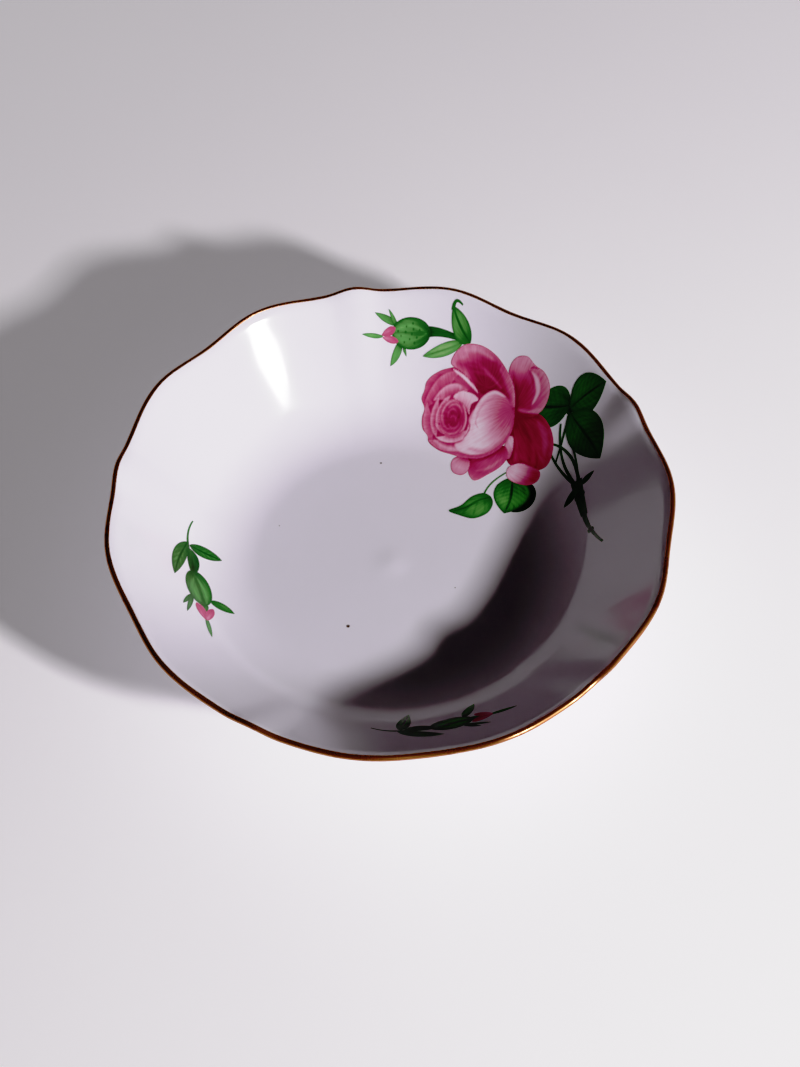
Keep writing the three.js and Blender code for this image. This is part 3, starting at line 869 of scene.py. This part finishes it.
BACK_LEAF = ((50.2, 40.2), (40, 44), 4.6, 4.2)
UPPER_LEAF = ((50, 39.6), (59.4, 41.4), 5.4, 4.4)
LOWER_LEAF = ((50, 38.4), (57.6, 23.6), 4.8, 3.6)
LEAFLETS = [((51.8, 19.6), (48, 15.2), 1.1, 0.8), ((52.4, 19.4), (56, 21.4), 0.8, 0.7)]
STEMS = [
    ((50.2, 40.6), (49.4, 36), (46, 28), 0.6, 0.5),
    ((47.6, 37), (46.4, 28), (51.4, 19.8), 0.5, 0.7),
    ((43.6, 34), (51.2, 31), (52.2, 19.5), 0.5, 0.8),
    ((45, 30.6), (47.4, 24.6), (51.6, 19.5), 0.5, 0.7),
    ((49.4, 34), (52, 27), (51.8, 20), 0.4, 0.6),
]
TRUNK = [((51.4, 21), (52.4, 15), (53.2, 10.6), 2.8, 1.6), ((53, 11.6), (53.8, 6), (57.4, 0), 1.2, 0.6)]
KNOTS = [((52.2, 16.6), 1.5, 1.2), ((54.6, 5.4), 0.9, 0.8), ((50, 39.2), 1.0, 0.9)]

branch = Canvas(
    [leaf_outline(*leaf) for leaf in (BACK_LEAF, UPPER_LEAF, LOWER_LEAF, *LEAFLETS)]
    + [stem_outline(*stem) for stem in STEMS + TRUNK]
    + [oval_outline(centre, length, width, 60, 14) for centre, length, width in KNOTS],
    under=bloom_outlines,
)
for stem in STEMS:
    branch.petal_over(stem_outline(*stem), stem[0], stem[2], [0.7, 0.55, 0.75], 0.8)
for stem in TRUNK:
    branch.petal_over(stem_outline(*stem), stem[0], stem[2], [0.82, 0.68, 0.6, 0.42], 0.8)
for centre, length, width in KNOTS:
    branch.glow(centre, length, 0.92, 0.8)
for leaf in LEAFLETS:
    paint_leaf(branch, leaf, [0.8, 0.6, 0.55], 0.8)
paint_leaf(branch, BACK_LEAF, [0.82, 0.68, 0.66], 0.8, veins=5, midrib=0.5)
paint_leaf(branch, UPPER_LEAF, [0.74, 0.58, 0.6, 0.72], 0.84, veins=6, midrib=0.5)
paint_leaf(branch, LOWER_LEAF, [0.74, 0.58, 0.6, 0.74], 0.84, veins=7, midrib=0.5)
branch.fire("rose_branch_enamel", green_enamel, "rose_branch", "green_enamel")


# ----------------------------------------------------------------------
# The round leaf and the long leaf below the rose. The same green, with painted light in lighter tones.
# ----------------------------------------------------------------------

ROUND_LEAF = ((34.2, 27.6), (31.6, 16.2), 6.2, 4.2)
ROUND_LEAF_BACK = oval_outline((35.4, 21.4), 5.3, 4.9, 20)
round_leaf = Canvas([leaf_outline(*ROUND_LEAF), ROUND_LEAF_BACK], under=bloom_outlines)
round_leaf.petal_over(ROUND_LEAF_BACK, (36, 27), (36, 16), [1.0, 0.95, 0.9], 1.0)
# The leaf's lighter tones, lighter than the branch's leaves, are painted light.
paint_leaf(round_leaf, ROUND_LEAF, [0.75, 0.5, 0.38, 0.5], 0.82, veins=6, midrib=0.7)
round_leaf.glow((31.6, 20.6), 1.8, 0.25, 0.5)
round_leaf.glow((35.6, 20.4), 1.8, 0.3, 0.5)
round_leaf.fire("rose_round_leaf_enamel", green_enamel, "rose_round_leaf", "green_enamel")

LONG_LEAF = smooth_line([
    (16.2, 17.3), (19.6, 19), (22.8, 22), (26.2, 23.1), (28.3, 21.5), (28.4, 18.8),
    (26.6, 16.1), (22.8, 14.6), (18.8, 15.8),
])
STALK = ((26, 22), (27.4, 27.4), (34, 29.8), 0.5, 0.35)
long_leaf = Canvas([LONG_LEAF, stem_outline(*STALK)], under=bloom_outlines)
long_leaf.petal_over(stem_outline(*STALK), STALK[0], STALK[2], [0.45, 0.3, 0.6], 0.5)
# Lighter tones than the branch's leaves: painted light.
long_leaf.petal_over(LONG_LEAF, (28, 21.6), (16.4, 17), [0.7, 0.5, 0.4, 0.5, 0.62], 0.8)
long_leaf.line([(27.6, 21.6), (24.6, 20.6), (21, 18.3), (17.4, 17)], 0.5, 0.95, 0.8, soft=0.4)
for start, end in (((26.4, 21.3), (26.2, 17.4)), ((24.4, 20.4), (23, 16)), ((22.2, 19), (20, 16.4))):
    long_leaf.line([start, end], 0.4, 0.85, 0.4, soft=0.5)
long_leaf.glow((25, 18.2), 2.2, 0.28, 0.5)
long_leaf.fire("rose_long_leaf_enamel", green_enamel, "rose_long_leaf", "green_enamel")


# ----------------------------------------------------------------------
# The bud near the lip. A green bud on a short stalk with a curled leaf and a pale one, pale sepals, and a
# touch of rose where it opens.
# ----------------------------------------------------------------------

BUD_BODY = oval_outline((6, 65), 5.5, 3.1, -4)
BUD_STALKS = [((10.6, 65), (15, 65), (21.8, 61.7), 2.2, 0.7)]
CURLED_LEAF = ((22.8, 61.3), (17.8, 69.2), 2.7, 1.7)
HOOK = ((17.9, 68.4), (18.4, 71.2), (20.6, 68.9), 1.1, 0.35)
PALE_LEAF = ((20.8, 61.8), (9.2, 60.4), 1.4, 1.3)
SEPALS = [
    ((2.6, 66.8), (-4.3, 69), 0.8, 0.7),
    ((2.2, 66.4), (-0.4, 69.8), 0.45, 0.45),
    ((3.2, 63.9), (0, 58.8), 1.3, 0.8),
    ((3.6, 63.2), (4.6, 60.6), 0.4, 0.4),
]
BUD_PETALS = [((1.6, 66.2), (-2.4, 64.8), 0.9, 0.8), ((2.4, 63.6), (-2.2, 64.4), 0.7, 0.7)]
BUD_TIP = ((-2, 64.6), (-8, 64.6), 0.5, 0.45)

top_bud = Canvas(
    [BUD_BODY] + [stem_outline(*stem) for stem in BUD_STALKS + [HOOK]]
    + [leaf_outline(*leaf) for leaf in (CURLED_LEAF, PALE_LEAF, *SEPALS)],
    under=bloom_outlines + [leaf_outline(*leaf) for leaf in BUD_PETALS],
    spacing=0.22,
)
for stem in BUD_STALKS:
    top_bud.petal_over(stem_outline(*stem), stem[0], stem[2], [0.85, 0.7, 0.6, 0.7], 0.75)
paint_leaf(top_bud, PALE_LEAF, [0.35, 0.2, 0.18, 0.25], 0.4, veins=0, midrib=0.35, rib_tone=0.5)
paint_leaf(top_bud, CURLED_LEAF, [0.75, 0.45, 0.32, 0.4], 0.6, veins=0, midrib=0.5, rib_tone=0.8)
top_bud.petal_over(stem_outline(*HOOK), HOOK[0], HOOK[2], [0.5, 0.6], 0.65)
for leaf in SEPALS:
    paint_leaf(top_bud, leaf, [0.5, 0.3, 0.2], 0.45)
top_bud.petal_over(BUD_BODY, (11.4, 64.6), (0.6, 65.4), [0.85, 0.55, 0.4, 0.3, 0.4], 0.78)
for offset, tone in ((1.5, 0.2), (0.2, 0.62), (-1.4, 0.3)):
    top_bud.line([(10.6, 64.7), (6, 65 + offset), (1.4, 65.2 + offset * 0.4)], 0.6, tone, 0.6, soft=0.5)
for number in range(12):
    reach, turn = math.sqrt((number + 0.5) / 12), number * 2.4
    top_bud.glow((5.4 + 3.8 * reach * math.cos(turn), 64.9 + 2.1 * reach * math.sin(turn)), 0.2, 0.9, 0.6)
top_bud.fire("top_bud_green_enamel", green_enamel, "top_bud_green", "green_enamel")

petals = Canvas([leaf_outline(*leaf) for leaf in BUD_PETALS], spacing=0.2)
for leaf in BUD_PETALS:
    petals.petal_over(leaf_outline(*leaf), leaf[0], leaf[1], [0.7, 0.5, 0.4], 0.5)
petals.fire("top_bud_petals_enamel", rose_enamel, "top_bud_petals", "rose_enamel")

tip = Canvas([leaf_outline(*BUD_TIP)], under=[leaf_outline(*leaf) for leaf in BUD_PETALS], spacing=0.2)
paint_leaf(tip, BUD_TIP, [0.4, 0.25, 0.2], 0.4)
tip.fire("top_bud_tip_enamel", green_enamel, "top_bud_tip", "green_enamel")


# ----------------------------------------------------------------------
# The two small hanging sprigs, on the left of the wall and at its front. Each is a bud with a little rose
# showing, two leaves, a thin stalk, and long sepals. They are painted alike, freehand.
# ----------------------------------------------------------------------

# Drawn along -Y from the top of the stalk.
SPRIG_STALKS = [((0, 0.2), (-1.9, -4), (-0.6, -9), 0.3, 0.6)]
SPRIG_LEAVES = [((-1, -6.6), (-3.6, -19), 1.0, 2.3), ((-0.6, -7.4), (7.9, -8.8), 1.9, 1.6)]
SPRIG_NECK = ((-0.5, -8.4), (0.8, -17), 2.1, 0.9)
SPRIG_BUD = oval_outline((2.5, -20.3), 5.6, 3.15, -72)
SPRIG_SEPALS = [
    ((4, -24.4), (4.6, -27.8), 1.0, 1.0),
    ((5.4, -23.2), (12, -25.6), 1.4, 1.0),
    ((1, -23.2), (-0.9, -28), 0.55, 0.55),
    ((1.2, -23.2), (0.3, -30.4), 0.55, 0.55),
]
SPRIG_PETALS = [((2.2, -25.6), (5.2, -30.8), 1.3, 0.9), ((6.4, -25.8), (5.2, -30.8), 0.9, 1.1)]
SPRIG_TIP = ((4.9, -29.6), (6.9, -36.6), 0.55, 0.55)


def swung(points, at, turn):
    """Points of the sprig, turned and moved to their place on the wall."""
    points, turn = np.array(points, float), math.radians(turn)
    x, y = points[..., 0], points[..., 1]
    swung_x = at[0] + x * math.cos(turn) - y * math.sin(turn)
    swung_y = at[1] + x * math.sin(turn) + y * math.cos(turn)
    return np.stack([swung_x, swung_y], axis=-1)


def paint_sprig(name, at, turn):
    def leaf(shape):
        base, tip, left, right = shape
        return (*(tuple(point) for point in swung([base, tip], at, turn)), left, right)

    def stem(shape):
        return (*(tuple(point) for point in swung(shape[:3], at, turn)), *shape[3:])

    stalks = [stem(shape) for shape in SPRIG_STALKS]
    leaves, sepals = [leaf(shape) for shape in SPRIG_LEAVES], [leaf(shape) for shape in SPRIG_SEPALS]
    neck, sepal_tip = leaf(SPRIG_NECK), leaf(SPRIG_TIP)
    bud = swung(SPRIG_BUD, at, turn)
    rose = [leaf(shape) for shape in SPRIG_PETALS]
    rose_outlines = [leaf_outline(*shape) for shape in rose]

    green = Canvas(
        [bud] + [stem_outline(*shape) for shape in stalks]
        + [leaf_outline(*shape) for shape in leaves + sepals + [neck]],
        under=rose_outlines, spacing=0.22,
    )
    for shape in stalks:
        green.petal_over(stem_outline(*shape), shape[0], shape[2], [0.3, 0.45, 0.6], 0.5)
    for shape in leaves:
        paint_leaf(green, shape, [0.7, 0.5, 0.42, 0.5], 0.66, veins=4, midrib=0.4)
    for shape in sepals:
        paint_leaf(green, shape, [0.6, 0.45, 0.4], 0.6)
    ends = [tuple(point) for point in swung([(0.8, -15.4), (4.2, -25.6)], at, turn)]
    green.petal_over(bud, *ends, [0.85, 0.55, 0.45, 0.45, 0.55], 0.68)
    for offset, tone in ((-1.5, 0.3), (0.2, 0.75), (1.5, 0.25)):
        streak = swung([(1.2, -16.4), (2.4 + offset, -20.4), (4 + offset * 0.5, -24.6)], at, turn)
        green.line(streak, 0.6, tone, 0.65, soft=0.5)
    paint_leaf(green, neck, [0.6, 0.8, 0.9, 0.8], 0.75)
    green.fire(f"{name}_green_enamel", green_enamel, f"{name}_green", "green_enamel")

    pink = Canvas(rose_outlines, spacing=0.2)
    for shape in rose:
        pink.petal_over(leaf_outline(*shape), shape[0], shape[1], [0.75, 0.5, 0.35], 0.5)
    pink.fire(f"{name}_petals_enamel", rose_enamel, f"{name}_petals", "rose_enamel")

    end = Canvas([leaf_outline(*sepal_tip)], under=rose_outlines, spacing=0.2)
    paint_leaf(end, sepal_tip, [0.5, 0.35, 0.25], 0.5)
    end.fire(f"{name}_tip_enamel", green_enamel, f"{name}_tip", "green_enamel")


paint_sprig("left_sprig", at=(-54.2, 8.5), turn=0)
paint_sprig("front_sprig", at=(-5, -56), turn=84)


# ----------------------------------------------------------------------
# The table, the light and the camera. A pale table, which sweeps up into a paper wall all round, under one
# softbox from the right, a little in front of the dish and low. The table glows faintly of itself, as
# painted light, and its wall is painted dark grey, as painted shade. Besides these there is hardly any
# light, so that the far side of the dish's wall is bright and its near right lies in deep shade.
# ----------------------------------------------------------------------

# The sweep, as radius and height from the dish outwards.
TABLE_RADIUS, TABLE_DROP, BEND_RADIUS, SHADE_RISE, SPOKES = 3000, -0.02, 900, 300, 96
SWEEP = [(radius, TABLE_DROP) for radius in (200, 600, 1600, TABLE_RADIUS)]
SWEEP += [
    (TABLE_RADIUS + BEND_RADIUS * math.sin(turn), BEND_RADIUS * (1 - math.cos(turn)))
    for turn in np.linspace(0, np.pi / 2, 13)[1:]
]
SWEEP += [(TABLE_RADIUS + BEND_RADIUS, height) for height in (1500, 2600)]
table_turn = np.linspace(0, 2 * np.pi, SPOKES, endpoint=False)
table_rings = [
    np.column_stack([size * np.cos(table_turn), size * np.sin(table_turn), np.full(SPOKES, height)])
    for size, height in SWEEP
]
table_faces = [list(range(SPOKES))]
for ring in range(len(SWEEP) - 1):
    inner, outer = ring * SPOKES, (ring + 1) * SPOKES
    for step in range(SPOKES):
        after = (step + 1) % SPOKES
        table_faces.append([inner + step, outer + step, outer + after, inner + after])
table = new_piece("table", np.concatenate(table_rings), table_faces)
table.data.shade_smooth()
height = np.concatenate([ring[:, 2] for ring in table_rings]).astype(np.float32)
shade_share = table.data.attributes.new("shade_share", "FLOAT", "POINT")
shade_share.data.foreach_set("value", np.clip(height / SHADE_RISE, 0, 1))


def table_with_painted_glow():
    material, place, shader = new_finish("table_with_painted_glow")
    cloud = place.noise(9, detail=2)
    pale = cloud.mix((0.78, 0.755, 0.79, 1), (0.82, 0.80, 0.825, 1))
    # Painted light and shade: the table glows faintly of itself, most on the flat, and up the wall the
    # paper turns dark grey with hardly any glow.
    share = attribute(place, "shade_share")
    glow = share.mix((0.224, 0.216, 0.227, 1), (0.012, 0.012, 0.013, 1))
    set_shader(
        place, shader,
        Base_Color=share.mix(pale, (0.22, 0.215, 0.22, 1)), Roughness=0.75 + cloud * 0.1,
        Emission_Color=glow, Emission_Strength=1.0,
    )
    shader.inputs["Specular IOR Level"].default_value = 0.2
    return material


table.data.materials.append(table_with_painted_glow())

LIGHT_AZIMUTH, LIGHT_RISE, LIGHT_ROLL = math.radians(-40), math.radians(28.7), math.radians(11)
LIGHT_DISTANCE, LIGHT_AIM = 0.9, Vector((0, 0, 0.02))  # metres
SOFTBOX_WIDTH, SOFTBOX_HEIGHT, SOFTBOX_WATTS = 0.07, 0.075, 9.7
toward_light = Vector((
    math.cos(LIGHT_RISE) * math.cos(LIGHT_AZIMUTH),
    math.cos(LIGHT_RISE) * math.sin(LIGHT_AZIMUTH),
    math.sin(LIGHT_RISE),
))
softbox = bpy.data.lights.new("softbox", "AREA")
softbox.shape = "RECTANGLE"
softbox.size, softbox.size_y = SOFTBOX_WIDTH, SOFTBOX_HEIGHT
softbox.energy = SOFTBOX_WATTS
softbox.color = (1.0, 0.975, 0.985)
softbox_object = bpy.data.objects.new("softbox", softbox)
bpy.context.scene.collection.objects.link(softbox_object)
aim = toward_light.to_track_quat("Z", "Y").to_matrix().to_4x4()
place_of_light = Matrix.Translation(LIGHT_AIM + toward_light * LIGHT_DISTANCE)
softbox_object.matrix_world = place_of_light @ aim @ Matrix.Rotation(LIGHT_ROLL, 4, "Z")

world = bpy.data.worlds.new("studio")
bpy.context.scene.world = world
world.use_nodes = True
dim = world.node_tree.nodes["Background"]
dim.inputs["Color"].default_value = (0.93, 0.92, 0.96, 1)
dim.inputs["Strength"].default_value = 0.004

# Where the camera stands, in lip radii from the middle of the lip's plane.
CAMERA_DROP, CAMERA_ROLL = math.radians(56.94), math.radians(-0.28)
CAMERA_ASIDE, CAMERA_RISE, CAMERA_BACK = 0.0344, -0.0998, 7.428
LIP_MIDDLE, LIP_SIZE = Vector((0, 0, 36.1 * MM)), 74.5 * MM
ahead = Vector((0, math.cos(CAMERA_DROP), -math.sin(CAMERA_DROP)))
level_up = Vector((0, math.sin(CAMERA_DROP), math.cos(CAMERA_DROP)))
right = Vector((1, 0, 0)) * math.cos(CAMERA_ROLL) + level_up * math.sin(CAMERA_ROLL)
up = level_up * math.cos(CAMERA_ROLL) - Vector((1, 0, 0)) * math.sin(CAMERA_ROLL)
stand = LIP_MIDDLE + LIP_SIZE * (right * CAMERA_ASIDE + up * CAMERA_RISE - ahead * CAMERA_BACK)
camera = bpy.data.objects.new("camera", bpy.data.cameras.new("camera"))
camera.data.lens = 70.85
camera.data.sensor_width = 36
camera.matrix_world = Matrix.Translation(stand) @ Matrix((right, up, -ahead)).transposed().to_4x4()
bpy.context.scene.collection.objects.link(camera)
bpy.context.scene.camera = camera

view = bpy.context.scene.view_settings
view.view_transform = "Standard"
view.look = "None"
view.use_curve_mapping = True
view.curve_mapping.clip_max_x = 3
curve = view.curve_mapping.curves[3]
curve.points[1].location = (3, 1)
TONES = [(0.03, 0.008), (0.07, 0.064), (0.12, 0.118), (0.45, 0.45), (0.78, 0.765), (1.1, 0.87), (1.7, 0.97)]
for shade, shown in TONES:
    curve.points.new(shade, shown)
for point in curve.points:
    point.handle_type = "AUTO_CLAMPED"
for number, shown in ((1, 0.094), (2, 0.088)):
    view.curve_mapping.curves[number].points.new(0.1, shown)
    view.curve_mapping.curves[number].points.new(0.3, 0.296)
view.curve_mapping.update()
